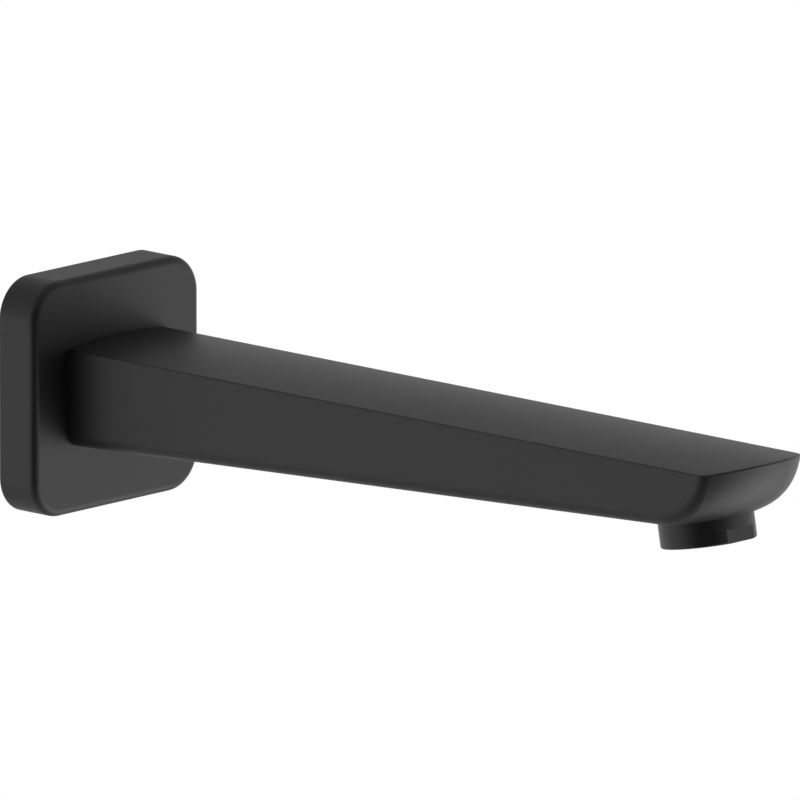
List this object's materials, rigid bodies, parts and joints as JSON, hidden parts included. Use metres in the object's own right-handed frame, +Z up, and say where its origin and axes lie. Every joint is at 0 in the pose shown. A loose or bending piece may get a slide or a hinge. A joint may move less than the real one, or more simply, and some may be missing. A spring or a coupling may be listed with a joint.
{
  "type": "wall spout",
  "caption": "Matt black wall spout: crowned square arm with a bowed nose on a rounded square wall flange, fed by a threaded nipple, with a tilted screw-in aerator under the nose.",
  "frame": {"origin": "where the axis of the inlet thread meets the wall, at the middle of the flange's back", "axes": "+Z up, the arm reaches out from the wall along -Y, +X to the left of someone who faces away from the wall"},
  "size_m": [0.06, 0.2482, 0.06],
  "materials": {
    "matt_black": "fine matt black coat on brass",
    "brass": "bare turned brass",
    "seal_rubber": "smooth black rubber",
    "foam": "closed-cell foam",
    "steel": "plain stainless steel",
    "acetal": "moulded light grey acetal"
  },
  "bodies": {
    "root": {"spout_body": "matt_black", "wall_flange": "matt_black", "aerator_housing": "matt_black", "inlet_nipple": "brass", "front_o_ring": "seal_rubber", "rear_o_ring": "seal_rubber", "aerator_washer": "seal_rubber", "flange_gasket": "foam", "grub_screw": "steel", "strainer_dome": "acetal", "jet_plate": "acetal", "mixing_sleeve": "acetal", "outlet_grid": "acetal"}
  },
  "joints": []
}
